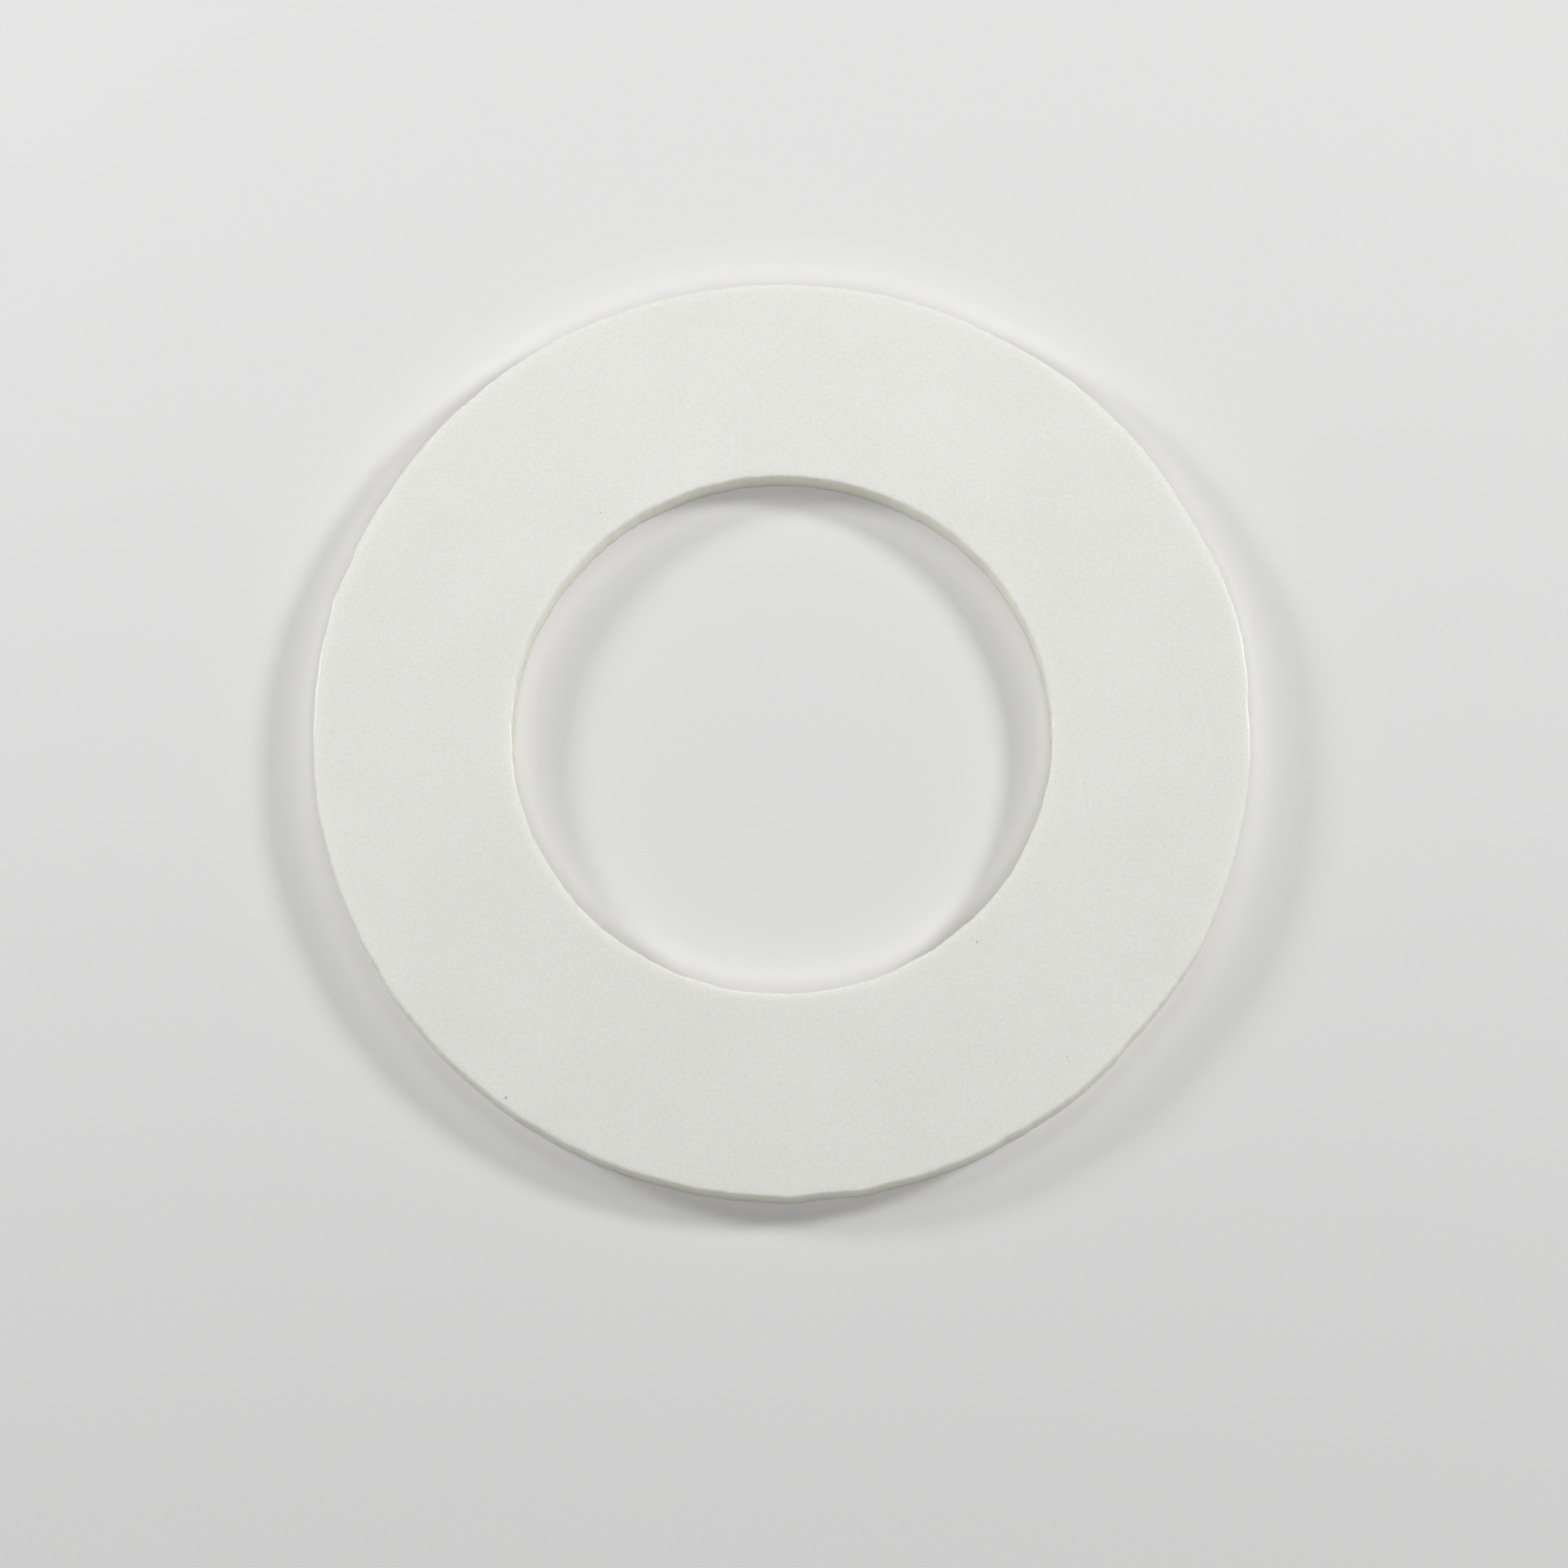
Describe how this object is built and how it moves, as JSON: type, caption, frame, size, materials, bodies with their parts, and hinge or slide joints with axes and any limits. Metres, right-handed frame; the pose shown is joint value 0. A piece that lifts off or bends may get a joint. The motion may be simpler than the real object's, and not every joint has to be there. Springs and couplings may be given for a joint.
{
  "type": "flat washer",
  "caption": "Flat ring of milky translucent plastic with a large round hole, cut from sheet, to space, cushion or seal around a bolt or pipe end.",
  "frame": {"origin": "the middle of the bottom face, on the washer's own axis", "axes": "+Z is the washer's axis, pointing up out of the top face; X and Y lie in the bottom face, and the ring is round, so they may point any way"},
  "size_m": [0.0222, 0.0222, 0.0008],
  "materials": {
    "milky_plastic": "satin"
  },
  "bodies": {
    "root": {"washer": "milky_plastic"}
  },
  "joints": []
}
